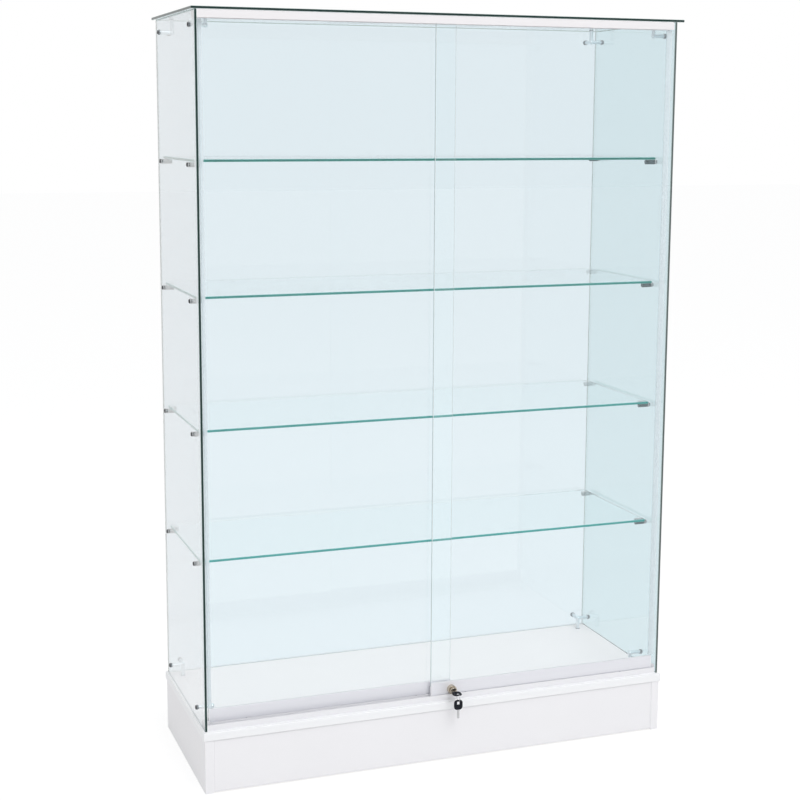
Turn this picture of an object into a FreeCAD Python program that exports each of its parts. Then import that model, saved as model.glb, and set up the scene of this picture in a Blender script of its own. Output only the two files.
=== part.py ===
import FreeCAD
import Part
import math
import os

# A free-standing glass display case. A white board plinth carries a frameless glass box, which
# corner connectors hold together. Glass shelves rest on studs, and two glass doors slide past
# each other on a twin track. A push lock with a key in it joins the doors where they overlap.
# Millimetres. X runs to the right, Y to the back and Z up from the floor. The origin lies on
# the floor under the middle of the deck.

# Plinth boards
DECK_WIDTH = 1200.0
DECK_DEPTH = 440.0
DECK_THICKNESS = 20.0
DECK_EDGE_RADIUS = 2.0
PLINTH_HEIGHT = 150.0
BOARD = 20.0
BOARD_EDGE_RADIUS = 1.0
BOARD_INSET = 3.0
KICK_RECESS = 1.5
KICK_FLOOR_GAP = 2.5
BLOCK_SIDE = 30.0
BLOCK_HEIGHT = 40.0
BLOCK_BOLT_GAP = 4.0
BLOCK_SCREW_OFFSET = 8.0
BLOCK_SCREW_COVER = 8.0
WOOD_SCREW_RADIUS = 2.0
WOOD_HEAD_RADIUS = 4.0
WOOD_HEAD_HEIGHT = 2.5
DOWEL_RADIUS = 4.0
DOWEL_FIT = 0.05
DOWEL_DECK_COVER = 8.0
DOWEL_BOARD_DEPTH = 18.0
DOWEL_INSET = 100.0

# Glass box
GLASS = 6.0
GLASS_ARRIS = 0.8
GLASS_JOINT = 0.5
GLASS_HOLE_RADIUS = 3.5
FRONT_LEDGE = 9.0
REAR_LEDGE = 9.0
SIDE_LEDGE = 5.0
TOP_FRONT_OVERHANG = 16.0
TOP_SIDE_OVERHANG = 10.0

# Shelves
SHELF_COUNT = 4
SHELF_THICKNESS = 6.0
SHELF_ARRIS = 0.8
SHELF_CORNER_RADIUS = 4.0
SHELF_FIRST = 388.0
SHELF_PITCH = 308.5
TOP_COMPARTMENT = 324.5
SHELF_FRONT_SETBACK = 62.0
SHELF_REAR_GAP = 12.0
SHELF_END_GAP = 8.0

# Shelf studs and their pads
STUD_RADIUS = 6.0
STUD_REACH = 25.0
STUD_FLAT = 1.0
STUD_FRONT = 84.0
STUD_REAR = 34.0
PAD_THICKNESS = 1.0
PAD_LENGTH = 13.0
PAD_WIDTH = 5.6
PAD_TIP_MARGIN = 1.5

# Corner connectors
CONNECTOR_REACH = 30.0
CONNECTOR_ARM_RADIUS = 4.5
CONNECTOR_HUB_RADIUS = 6.0
TOP_CONNECTOR_SETBACK = 54.0

# Machine screws and washers that clamp studs and connectors to the panels
SCREW_RADIUS = 2.5
SCREW_FIT = 0.05
SCREW_BITE = 12.0
SCREW_END_GAP = 1.0
HEAD_RADIUS = 4.8
HEAD_HEIGHT = 2.6
HEAD_ROUND = 1.2
SOCKET_RADIUS = 1.7
SOCKET_DEPTH = 1.4
WASHER_THICKNESS = 1.0
WASHER_RADIUS = 6.0
WASHER_BORE_FIT = 0.2

# Twin door tracks
TRACK_SETBACK = 3.5
TRACK_WALL = 1.5
TRACK_FLOOR = 2.0
TRACK_END_GAP = 0.5
LOWER_WALL_HEIGHT = 14.0
FASCIA_HEIGHT = 17.0
RIB_HEIGHT = 3.0
RIB_WIDTH = 2.0
TRACK_SCREW_COUNT = 4
TRACK_SCREW_INSET = 120.0
TRACK_SCREW_OFFSET = 4.0
TRACK_SCREW_RADIUS = 1.6
TRACK_SCREW_HEAD_RADIUS = 2.8
TRACK_SCREW_LENGTH = 14.0

# Sliding doors
DOOR_GLASS = 5.0
DOOR_OVERLAP = 56.0
DOOR_GAP = 6.0
DOOR_END_GAP = 9.0
BUMPER_CLEARANCE = 1.0
BUMPER_WIDTH = 10.0
BUMPER_HEIGHT = 15.0
RAIL_THICKNESS = 10.0
RAIL_WALL = 1.4
RAIL_WEB = 2.0
RAIL_LIFT = 5.0
RAIL_EDGE_RADIUS = 0.6
GLASS_POCKET = 11.5
GASKET_BASE = 1.5
GASKET_FIT = 0.05
CAP_THICKNESS = 2.0
SEAL_WALL = 1.0
SEAL_GRIP = 7.0
SEAL_BASE = 1.5
SEAL_FIN = 1.6
SEAL_GLASS_GAP = 1.0
SEAL_END_GAP = 1.5
LIFT_ROOM = 10.5
GUIDE_LENGTH = 30.0
GUIDE_HEIGHT = 4.2
GUIDE_CROWN = 1.0
GUIDE_SIDE_GAP = 0.5
GUIDE_INSET = 60.0

# Door wheels
WHEEL_INSET = 90.0
WHEEL_TREAD_RADIUS = 7.5
WHEEL_RIM = 1.5
WHEEL_SIDE_GAP = 0.85
WHEEL_RUN_GAP = 0.3
WHEEL_RIB_GAP = 0.8
AXLE_RADIUS = 2.0
AXLE_FIT = 0.05

# Push lock in the front door's rail
LOCK_INSET = 4.0
LOCK_WALL_GAP = 1.0
NOSE_RADIUS = 11.0
NOSE_LENGTH = 11.0
NOSE_FLOOR = 2.0
NOSE_EDGE_RADIUS = 1.2
STEM_RADIUS = 5.0
STEM_WEB_GAP = 0.5
STEM_GROOVE = 1.0
CLIP_THICKNESS = 1.5
CLIP_WIDTH = 16.0
CLIP_DROP = 8.0
CLIP_FIT = 0.05
PLUNGER_RADIUS = 8.5
PLUNGER_STAND = 8.0
PLUNGER_TRAVEL = 6.0
PLUNGER_STOP_GAP = 0.5
PLUNGER_FIT = 0.05
PLUNGER_EDGE_RADIUS = 1.0
BOLT_RADIUS = 3.0
BOLT_REST_DEPTH = 1.0
STRIKE_LENGTH = 10.0
STRIKE_HEIGHT = 12.0
STRIKE_BOLT_GAP = 0.5
STRIKE_DOOR_GAP = 1.0
CORE_RADIUS = 4.0
CORE_LENGTH = 9.0
CORE_FIT = 0.05

# Keys and their ring
KEY_BLADE_WIDTH = 6.0
KEY_BLADE_THICKNESS = 2.0
KEY_BLADE_FIT = 0.05
KEY_BLADE_DEPTH = 8.0
KEY_NECK = 5.0
KEY_TANG = 8.0
KEY_BLADE_LENGTH = 22.0
BOW_WIDTH = 22.0
BOW_LENGTH = 25.0
BOW_THICKNESS = 2.8
BOW_CORNER_RADIUS = 8.0
BOW_WEB = 3.5
BOW_HOLE_WIDTH = 7.0
RING_RADIUS = 10.0
RING_WIRE_RADIUS = 0.8
RING_PLAY = 1.6
RING_HOLE_GAP = 0.7
SPARE_PLAY = 0.3

# Heights and planes that the sizes above set
DECK_TOP = PLINTH_HEIGHT
DECK_UNDER = DECK_TOP - DECK_THICKNESS
DECK_X = DECK_WIDTH / 2
DECK_Y = DECK_DEPTH / 2
BOARD_X = DECK_X - BOARD_INSET
BOARD_Y = DECK_Y - BOARD_INSET
KICK_REAR = KICK_RECESS + BOARD - BOARD_Y
BACK_BOARD_FRONT = BOARD_Y - BOARD
BLOCK_TOP = DECK_UNDER - WASHER_THICKNESS - HEAD_HEIGHT - BLOCK_BOLT_GAP
BLOCK_SCREW_BITE = BOARD - BLOCK_SCREW_COVER
GLASS_X = DECK_X - SIDE_LEDGE
INNER_X = GLASS_X - GLASS
GLASS_FRONT = FRONT_LEDGE - DECK_Y
GLASS_BACK = DECK_Y - REAR_LEDGE
INNER_BACK = GLASS_BACK - GLASS
SHELF_UNDERSIDES = [DECK_TOP + SHELF_FIRST + SHELF_PITCH * i for i in range(SHELF_COUNT)]
TOP_UNDER = SHELF_UNDERSIDES[-1] + SHELF_THICKNESS + TOP_COMPARTMENT
TOP_FACE = TOP_UNDER + GLASS

TRACK_FRONT = GLASS_FRONT + TRACK_SETBACK
DOOR_PITCH = RAIL_THICKNESS + DOOR_GAP
CHANNEL = DOOR_PITCH - TRACK_WALL
FRONT_LANE = TRACK_FRONT + TRACK_WALL + CHANNEL / 2
REAR_LANE = FRONT_LANE + DOOR_PITCH
TRACK_BACK = REAR_LANE + CHANNEL / 2 + TRACK_WALL
TRACK_X = INNER_X - TRACK_END_GAP
FASCIA_BOTTOM = TOP_UNDER - FASCIA_HEIGHT
RIB_TOP = DECK_TOP + TRACK_FLOOR + RIB_HEIGHT

DOOR_OUTER_X = INNER_X - DOOR_END_GAP
DOOR_INNER_X = DOOR_OVERLAP / 2
LOCK_X = DOOR_INNER_X - LOCK_INSET
LOCK_Z = DECK_TOP + LOWER_WALL_HEIGHT + LOCK_WALL_GAP + NOSE_RADIUS
RAIL_BOTTOM = DECK_TOP + TRACK_FLOOR + RAIL_LIFT
WEB_BOTTOM = LOCK_Z + STEM_RADIUS + STEM_WEB_GAP
WEB_TOP = WEB_BOTTOM + RAIL_WEB
RAIL_TOP = WEB_TOP + GLASS_POCKET
GUIDE_TOP = TOP_UNDER - TRACK_FLOOR - LIFT_ROOM
DOOR_TOP = GUIDE_TOP - GUIDE_CROWN
WHEEL_Z = RIB_TOP + WHEEL_RUN_GAP + WHEEL_TREAD_RADIUS

RAIL_FACE = FRONT_LANE - RAIL_THICKNESS / 2
RAIL_REAR = FRONT_LANE + RAIL_THICKNESS / 2
NOSE_FACE = RAIL_FACE - NOSE_LENGTH
PLUNGER_FACE = NOSE_FACE - PLUNGER_STAND
PLUNGER_SHOULDER = RAIL_FACE - NOSE_FLOOR - PLUNGER_STOP_GAP - PLUNGER_TRAVEL
BOW_START = PLUNGER_FACE - KEY_NECK
RING_Y = BOW_START - BOW_LENGTH + BOW_WEB / 2
RING_Z = LOCK_Z + BOW_THICKNESS / 2 + RING_PLAY - (RING_RADIUS - RING_WIRE_RADIUS)
RING_REACH = math.sqrt((RING_RADIUS + RING_WIRE_RADIUS) ** 2 - (LOCK_Z - BOW_THICKNESS / 2 - RING_Z) ** 2)
BOW_HOLE_END = BOW_WEB / 2 + RING_REACH + RING_HOLE_GAP
SPARE_WEB_Z = RING_Z - (RING_RADIUS - RING_WIRE_RADIUS) + SPARE_PLAY

SIDES = {"left": -1, "right": 1}
RIGHT = (1, 0, 0)
BACK = (0, 1, 0)
UP = (0, 0, 1)
DOWN = (0, 0, -1)
FORWARD = (0, -1, 0)


def span(a, b):
    return (min(a, b), max(a, b))


def slab(xs, ys, zs):
    """A box between two values on each axis."""
    size = [high - low for low, high in (xs, ys, zs)]
    return Part.makeBox(*size, FreeCAD.Vector(xs[0], ys[0], zs[0]))


def rod(start, direction, radius, length):
    """A cylinder from a point along a direction."""
    return Part.makeCylinder(radius, length, FreeCAD.Vector(*start), FreeCAD.Vector(*direction))


def beyond(point, direction, distance):
    """The point that lies a distance along a direction."""
    return tuple(p + d * distance for p, d in zip(point, direction))


def drilled(shape, holes):
    """A shape with every hole cut out of it."""
    return shape.cut(Part.makeCompound(holes)) if holes else shape


def joined(first, others):
    """One solid out of pieces that touch or overlap, with no seams between them."""
    return first.multiFuse(others).removeSplitter()


def outer_edges(shape, axis):
    """The straight edges along one axis that lie on the corners of the shape's box."""
    box = shape.BoundBox
    low = (box.XMin, box.YMin, box.ZMin)
    high = (box.XMax, box.YMax, box.ZMax)
    across = [i for i in range(3) if i != axis]
    found = []
    for edge in shape.Edges:
        first, last = edge.Vertexes[0].Point, edge.Vertexes[-1].Point
        along = abs(first[axis] - last[axis]) > Part.Precision.confusion()
        at_corner = all(
            min(abs(point[i] - low[i]), abs(point[i] - high[i])) < Part.Precision.confusion()
            for point in (first, last)
            for i in across
        )
        if along and at_corner:
            found.append(edge)
    return found


def glass_panel(xs, ys, zs, holes):
    """A glass panel with ground arrises and drilled holes."""
    blank = slab(xs, ys, zs)
    return drilled(blank.makeChamfer(GLASS_ARRIS, blank.Edges), holes)


def hexagon_socket(centre, direction, radius, depth):
    """A six-sided recess, cut along a direction from its mouth."""
    normal = FreeCAD.Vector(*direction)
    placed = FreeCAD.Placement(FreeCAD.Vector(*centre), FreeCAD.Rotation(FreeCAD.Vector(0, 0, 1), normal))
    corners = []
    for turn in range(7):
        angle = math.radians(60 * turn)
        corners.append(placed.multVec(FreeCAD.Vector(radius * math.cos(angle), radius * math.sin(angle), 0)))
    return Part.Face(Part.makePolygon(corners)).extrude(normal * depth)


def clamp_screw(face, inward, panel):
    """A button-head screw that enters a panel's outer face and bites behind its inner washer."""
    outward = tuple(-d for d in inward)
    seat = beyond(face, outward, WASHER_THICKNESS)
    head = rod(seat, outward, HEAD_RADIUS, HEAD_HEIGHT)
    crown = max(head.Edges, key=lambda edge: edge.CenterOfMass.dot(FreeCAD.Vector(*outward)))
    head = head.makeFillet(HEAD_ROUND, [crown])
    mouth = beyond(seat, outward, HEAD_HEIGHT)
    head = head.cut(hexagon_socket(mouth, inward, SOCKET_RADIUS, SOCKET_DEPTH))
    shank = rod(seat, inward, SCREW_RADIUS, WASHER_THICKNESS + panel + WASHER_THICKNESS + SCREW_BITE)
    return joined(head, [shank])


def clamp_washers(face, inward, panel):
    """The soft washers on both faces of a panel, under the screw head and under the fitting."""
    outward = tuple(-d for d in inward)
    inner_face = beyond(face, inward, panel)
    rings = []
    for start, direction in ((face, outward), (inner_face, inward)):
        disc = rod(start, direction, WASHER_RADIUS, WASHER_THICKNESS)
        bore = rod(start, direction, SCREW_RADIUS + WASHER_BORE_FIT, WASHER_THICKNESS)
        rings.append(disc.cut(bore))
    return rings


def panel_hole(face, inward, panel, radius):
    return rod(face, inward, radius, panel)


def tapped_hole(face, inward, panel):
    """The hole in a fitting that takes the end of a clamping screw."""
    start = beyond(face, inward, panel + WASHER_THICKNESS)
    return rod(start, inward, SCREW_RADIUS + SCREW_FIT, SCREW_BITE + SCREW_END_GAP)


def stud_places():
    """Each shelf stud as its side, its Y and the height of its axis."""
    rows = []
    for underside in SHELF_UNDERSIDES:
        axis_height = underside - PAD_THICKNESS + STUD_FLAT - STUD_RADIUS
        for side in SIDES.values():
            for y in (GLASS_FRONT + STUD_FRONT, GLASS_BACK - STUD_REAR):
                rows.append((side, y, axis_height))
    return rows


def connector_places():
    """Each corner connector as its hub point and the directions of its arms."""
    rear_y = INNER_BACK - CONNECTOR_REACH
    places = []
    for side in SIDES.values():
        x = side * (INNER_X - CONNECTOR_REACH)
        outwards = (side, 0, 0)
        top_z = TOP_UNDER - CONNECTOR_REACH
        base_z = DECK_TOP + CONNECTOR_REACH
        places.append(("top", (x, GLASS_FRONT + TOP_CONNECTOR_SETBACK, top_z), (outwards, UP)))
        places.append(("top", (x, rear_y, top_z), (outwards, BACK, UP)))
        places.append(("base", (x, GLASS_FRONT + STUD_FRONT, base_z), (outwards, DOWN)))
        places.append(("base", (x, rear_y, base_z), (outwards, BACK, DOWN)))
    return places


def clamp(panel_name, hub, arm, thickness):
    """A screw place: the panel, the point on its outer face and the way in."""
    face = beyond(hub, arm, CONNECTOR_REACH + thickness)
    return panel_name, face, tuple(-d for d in arm), thickness


def connector_clamps(hub, arms):
    """The screw places of one connector, one for each arm."""
    places = []
    for arm in arms:
        if arm == UP:
            places.append(clamp("top_glass", hub, arm, GLASS))
        elif arm == DOWN:
            places.append(clamp("deck", hub, arm, DECK_THICKNESS))
        elif arm == BACK:
            places.append(clamp("back_glass", hub, arm, GLASS))
        else:
            places.append(clamp("side_glass_" + ("left" if arm[0] < 0 else "right"), hub, arm, GLASS))
    return places


def stud_clamp(side, y, z):
    name = "side_glass_" + ("left" if side < 0 else "right")
    return name, (side * GLASS_X, y, z), (-side, 0, 0), GLASS


def track_screw_places():
    """The tops of the lower track's screws, beside the ribs of both lanes."""
    reach = TRACK_X - TRACK_SCREW_INSET
    step = 2 * reach / (TRACK_SCREW_COUNT - 1)
    lanes = (FRONT_LANE - TRACK_SCREW_OFFSET, REAR_LANE + TRACK_SCREW_OFFSET)
    return [(step * i - reach, y, DECK_TOP + TRACK_FLOOR) for y in lanes for i in range(TRACK_SCREW_COUNT)]


def block_places():
    """The corner blocks as the inner corner they fill and the two ways that they run from it."""
    side_face = BOARD_X - BOARD
    ends = ((KICK_REAR, 1), (BACK_BOARD_FRONT, -1))
    return [(side * side_face, y, -side, way) for side in SIDES.values() for y, way in ends]


def block_screw_places():
    """Each corner block's two screws as a head seat and a direction."""
    places = []
    for x, y, run_x, run_y in block_places():
        mid_x = x + run_x * BLOCK_SIDE / 2
        mid_y = y + run_y * BLOCK_SIDE / 2
        mid_z = BLOCK_TOP - BLOCK_HEIGHT / 2
        places.append(((x + run_x * BLOCK_SIDE, mid_y, mid_z + BLOCK_SCREW_OFFSET), (-run_x, 0, 0)))
        places.append(((mid_x, y + run_y * BLOCK_SIDE, mid_z - BLOCK_SCREW_OFFSET), (0, -run_y, 0)))
    return places


def wood_screw_holes():
    """The holes that the corner blocks' screws make in the blocks and in the boards behind them."""
    radius = WOOD_SCREW_RADIUS + SCREW_FIT
    length = BLOCK_SIDE + BLOCK_SCREW_BITE + SCREW_END_GAP
    return [rod(seat, way, radius, length) for seat, way in block_screw_places()]


def dowels(fit, end_gap):
    """The dowels between the deck and the boards under it, or with a fit and a gap, their holes."""
    y = BOARD_Y - DOWEL_INSET
    side_x = BOARD_X - BOARD / 2
    low = DECK_UNDER - DOWEL_BOARD_DEPTH - end_gap
    high = DECK_TOP - DOWEL_DECK_COVER + end_gap
    return [
        rod((x, way * y, low), UP, DOWEL_RADIUS + fit, high - low)
        for x in (-side_x, 0, side_x)
        for way in (-1, 1)
    ]


def deck_board():
    """The deck, drilled for connector bolts, track screws and dowels."""
    blank = slab((-DECK_X, DECK_X), (-DECK_Y, DECK_Y), (DECK_UNDER, DECK_TOP))
    all_clamps = [place for _, hub, arms in connector_places() for place in connector_clamps(hub, arms)]
    bolts = [place for place in all_clamps if place[0] == "deck"]
    holes = [panel_hole(face, way, thick, SCREW_RADIUS + SCREW_FIT) for _, face, way, thick in bolts]
    pilot = TRACK_SCREW_LENGTH + SCREW_END_GAP
    holes += [rod(top, DOWN, TRACK_SCREW_RADIUS + SCREW_FIT, pilot) for top in track_screw_places()]
    holes += dowels(DOWEL_FIT, SCREW_END_GAP)
    return drilled(blank.makeFillet(DECK_EDGE_RADIUS, blank.Edges), holes)


def plinth_boards():
    """The upright boards under the deck, drilled for dowels and for the corner blocks' screws."""
    holes = wood_screw_holes() + dowels(DOWEL_FIT, SCREW_END_GAP)
    inner_x = BOARD_X - BOARD
    nodes = {}
    for name, side in SIDES.items():
        board = slab(span(side * inner_x, side * BOARD_X), (-BOARD_Y, BOARD_Y), (0, DECK_UNDER))
        board = board.makeFillet(BOARD_EDGE_RADIUS, outer_edges(board, 2))
        nodes["plinth_side_" + name] = drilled(board, holes)
    between = (-inner_x, inner_x)
    raised = (KICK_FLOOR_GAP, DECK_UNDER)
    nodes["kick_board"] = drilled(slab(between, (KICK_REAR - BOARD, KICK_REAR), raised), holes)
    nodes["plinth_back"] = drilled(slab(between, (BACK_BOARD_FRONT, BOARD_Y), raised), holes)
    divider = slab((-BOARD / 2, BOARD / 2), (KICK_REAR, BACK_BOARD_FRONT), (0, DECK_UNDER))
    nodes["plinth_divider"] = drilled(divider, holes)
    return nodes


def corner_blocks():
    """The blocks in the plinth's inner corners and the screws that hold the boards to them."""
    holes = wood_screw_holes()
    blocks = []
    for x, y, run_x, run_y in block_places():
        xs = span(x, x + run_x * BLOCK_SIDE)
        ys = span(y, y + run_y * BLOCK_SIDE)
        blocks.append(drilled(slab(xs, ys, (BLOCK_TOP - BLOCK_HEIGHT, BLOCK_TOP)), holes))
    screws = []
    for seat, way in block_screw_places():
        outward = tuple(-d for d in way)
        head = rod(seat, outward, WOOD_HEAD_RADIUS, WOOD_HEAD_HEIGHT)
        shank = rod(seat, way, WOOD_SCREW_RADIUS, BLOCK_SIDE + BLOCK_SCREW_BITE)
        screws.append(joined(head, [shank]))
    return {"corner_blocks": Part.makeCompound(blocks), "block_screws": Part.makeCompound(screws)}


def plinth():
    nodes = {"deck": deck_board(), "deck_dowels": Part.makeCompound(dowels(0, 0))}
    nodes.update(plinth_boards())
    nodes.update(corner_blocks())
    return nodes


def all_glass_clamps():
    """Every screw place in the glass box, from the studs and from the connectors."""
    places = [stud_clamp(*place) for place in stud_places()]
    for _, hub, arms in connector_places():
        places += [place for place in connector_clamps(hub, arms) if place[0] != "deck"]
    return places


def glass_box():
    """The two sides, the back and the top, drilled for studs and connectors."""
    holes = {}
    for name, face, way, thick in all_glass_clamps():
        holes.setdefault(name, []).append(panel_hole(face, way, thick, GLASS_HOLE_RADIUS))
    upright = (DECK_TOP, TOP_UNDER)
    nodes = {}
    for name, side in SIDES.items():
        node = "side_glass_" + name
        xs = span(side * INNER_X, side * GLASS_X)
        nodes[node] = glass_panel(xs, (GLASS_FRONT, GLASS_BACK), upright, holes[node])
    back_x = INNER_X - GLASS_JOINT
    back_y = (INNER_BACK, GLASS_BACK)
    nodes["back_glass"] = glass_panel((-back_x, back_x), back_y, upright, holes["back_glass"])
    top_x = GLASS_X + TOP_SIDE_OVERHANG
    top_y = (GLASS_FRONT - TOP_FRONT_OVERHANG, GLASS_BACK)
    nodes["top_glass"] = glass_panel((-top_x, top_x), top_y, (TOP_UNDER, TOP_FACE), holes["top_glass"])
    return nodes


def connectors():
    """The corner connectors, with the screws and washers that clamp the panels to them."""
    groups = {"top": [], "base": []}
    screws = []
    washers = []
    bolts = []
    for level, hub, arms in connector_places():
        ball = Part.makeSphere(CONNECTOR_HUB_RADIUS, FreeCAD.Vector(*hub))
        arm_length = CONNECTOR_REACH - WASHER_THICKNESS
        body = joined(ball, [rod(hub, arm, CONNECTOR_ARM_RADIUS, arm_length) for arm in arms])
        clamps = connector_clamps(hub, arms)
        holes = [tapped_hole(face, way, thick) for _, face, way, thick in clamps]
        groups[level].append(drilled(body, holes))
        for name, face, way, thick in clamps:
            washers += clamp_washers(face, way, thick)
            target = bolts if name == "deck" else screws
            target.append(clamp_screw(face, way, thick))
    return {
        "top_connectors": Part.makeCompound(groups["top"]),
        "base_connectors": Part.makeCompound(groups["base"]),
        "connector_screws": Part.makeCompound(screws),
        "connector_washers": Part.makeCompound(washers),
        "deck_bolts": Part.makeCompound(bolts),
    }


def shelves():
    """The glass shelves, with rounded corners and ground arrises."""
    x = INNER_X - SHELF_END_GAP
    ys = (GLASS_FRONT + SHELF_FRONT_SETBACK, INNER_BACK - SHELF_REAR_GAP)
    nodes = {}
    for i, underside in enumerate(SHELF_UNDERSIDES):
        blank = slab((-x, x), ys, (underside, underside + SHELF_THICKNESS))
        rounded = blank.makeFillet(SHELF_CORNER_RADIUS, outer_edges(blank, 2))
        top_and_bottom = sorted(rounded.Faces, key=lambda face: face.Area)[-2:]
        rims = [edge for face in top_and_bottom for edge in face.Edges]
        nodes["shelf_" + str(i + 1)] = rounded.makeChamfer(SHELF_ARRIS, rims)
    return nodes


def shelf_studs():
    """The studs that carry the shelves, their screws and washers, and the pads on their flats."""
    studs = []
    screws = []
    washers = []
    pads = []
    for side, y, z in stud_places():
        root = (side * (INNER_X - WASHER_THICKNESS), y, z)
        inward = (-side, 0, 0)
        length = STUD_REACH - WASHER_THICKNESS
        tip_x = side * (INNER_X - STUD_REACH)
        flat_z = z + STUD_RADIUS - STUD_FLAT
        body = rod(root, inward, STUD_RADIUS, length)
        flat = slab(span(root[0], tip_x), (y - STUD_RADIUS, y + STUD_RADIUS), (flat_z, flat_z + STUD_RADIUS))
        _, face, way, thick = stud_clamp(side, y, z)
        studs.append(body.cut(flat).cut(tapped_hole(face, way, thick)))
        screws.append(clamp_screw(face, way, thick))
        washers += clamp_washers(face, way, thick)
        pad_tip = tip_x + side * PAD_TIP_MARGIN
        pad_x = span(pad_tip, pad_tip + side * PAD_LENGTH)
        pads.append(slab(pad_x, (y - PAD_WIDTH / 2, y + PAD_WIDTH / 2), (flat_z, flat_z + PAD_THICKNESS)))
    return {
        "shelf_studs": Part.makeCompound(studs),
        "stud_screws": Part.makeCompound(screws),
        "stud_washers": Part.makeCompound(washers),
        "shelf_pads": Part.makeCompound(pads),
    }


def track_walls(zs):
    """The front, middle and rear walls of a twin track, as slabs."""
    starts = [TRACK_FRONT + DOOR_PITCH * i for i in range(3)]
    return [slab((-TRACK_X, TRACK_X), (start, start + TRACK_WALL), zs) for start in starts]


def tracks():
    """The upper and lower tracks, the lower one's screws and the bumpers at its ends."""
    xs = (-TRACK_X, TRACK_X)
    depth = (TRACK_FRONT, TRACK_BACK)
    ceiling = slab(xs, depth, (TOP_UNDER - TRACK_FLOOR, TOP_UNDER))
    upper = joined(ceiling, track_walls((FASCIA_BOTTOM, TOP_UNDER)))

    floor = slab(xs, depth, (DECK_TOP, DECK_TOP + TRACK_FLOOR))
    rib_spans = [(lane - RIB_WIDTH / 2, lane + RIB_WIDTH / 2) for lane in (FRONT_LANE, REAR_LANE)]
    ribs = [slab(xs, ys, (DECK_TOP, RIB_TOP)) for ys in rib_spans]
    lower = joined(floor, track_walls((DECK_TOP, DECK_TOP + LOWER_WALL_HEIGHT)) + ribs)

    screws = []
    sinks = []
    sink_depth = TRACK_SCREW_HEAD_RADIUS - TRACK_SCREW_RADIUS
    for top in track_screw_places():
        for target, fit in ((screws, 0), (sinks, SCREW_FIT)):
            base = FreeCAD.Vector(*beyond(top, DOWN, sink_depth))
            head = Part.makeCone(TRACK_SCREW_RADIUS + fit, TRACK_SCREW_HEAD_RADIUS + fit, sink_depth, base)
            shank = rod(top, DOWN, TRACK_SCREW_RADIUS + fit, TRACK_SCREW_LENGTH)
            target.append(joined(head, [shank]))

    bumpers = []
    for side in SIDES.values():
        for y in (FRONT_LANE, REAR_LANE):
            bumper_x = span(side * (DOOR_OUTER_X + BUMPER_CLEARANCE), side * INNER_X)
            bumper_y = (y - BUMPER_WIDTH / 2, y + BUMPER_WIDTH / 2)
            bumpers.append(slab(bumper_x, bumper_y, (RIB_TOP, RIB_TOP + BUMPER_HEIGHT)))
    return {
        "upper_track": upper,
        "lower_track": drilled(lower, sinks),
        "lower_track_screws": Part.makeCompound(screws),
        "track_bumpers": Part.makeCompound(bumpers),
    }


def door_ends(side):
    """The inner and outer ends of a door in X."""
    return -side * DOOR_INNER_X, side * DOOR_OUTER_X


def set_in_from_ends(side, inset):
    """Two places in X, one set in from each end of a door."""
    inner, outer = door_ends(side)
    return inner + side * inset, outer - side * inset


def door_rail(side, lane, extra_holes):
    """A door's bottom rail: a pocket for the glass above, a chamber for the wheels below."""
    inner, outer = door_ends(side)
    xs = span(inner + side * CAP_THICKNESS, outer - side * CAP_THICKNESS)
    ys = (lane - RAIL_THICKNESS / 2, lane + RAIL_THICKNESS / 2)
    hollow = (ys[0] + RAIL_WALL, ys[1] - RAIL_WALL)
    blank = slab(xs, ys, (RAIL_BOTTOM, RAIL_TOP))
    blank = blank.makeFillet(RAIL_EDGE_RADIUS, outer_edges(blank, 0))
    chamber = slab(xs, hollow, (RAIL_BOTTOM, WEB_BOTTOM))
    pocket = slab(xs, hollow, (WEB_TOP, RAIL_TOP))
    axle_holes = [
        rod((x, ys[0], WHEEL_Z), BACK, AXLE_RADIUS + AXLE_FIT, RAIL_THICKNESS)
        for x in set_in_from_ends(side, WHEEL_INSET)
    ]
    return drilled(blank.cut(chamber).cut(pocket), axle_holes + extra_holes)


def rail_caps(side, lane):
    """The plates that close both ends of a rail, open above for the glass and its gasket."""
    ys = (lane - RAIL_THICKNESS / 2, lane + RAIL_THICKNESS / 2)
    hollow = (ys[0] + RAIL_WALL, ys[1] - RAIL_WALL)
    inner, outer = door_ends(side)
    caps = []
    for start, stop in ((inner, inner + side * CAP_THICKNESS), (outer, outer - side * CAP_THICKNESS)):
        xs = span(start, stop)
        plate = slab(xs, ys, (RAIL_BOTTOM, RAIL_TOP))
        plate = plate.makeFillet(RAIL_EDGE_RADIUS, outer_edges(plate, 0))
        caps.append(plate.cut(slab(xs, hollow, (WEB_TOP, RAIL_TOP))))
    return Part.makeCompound(caps)


def door_gasket(side, lane):
    """The soft channel that beds the glass in the rail's pocket."""
    xs = span(*door_ends(side))
    outer = RAIL_THICKNESS / 2 - RAIL_WALL - GASKET_FIT
    inner = DOOR_GLASS / 2 + GASKET_FIT
    channel = slab(xs, (lane - outer, lane + outer), (WEB_TOP, RAIL_TOP))
    return channel.cut(slab(xs, (lane - inner, lane + inner), (WEB_TOP + GASKET_BASE, RAIL_TOP)))


def door_glass(side, lane):
    xs = span(*door_ends(side))
    ys = (lane - DOOR_GLASS / 2, lane + DOOR_GLASS / 2)
    return glass_panel(xs, ys, (WEB_TOP + GASKET_BASE, DOOR_TOP), [])


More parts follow.
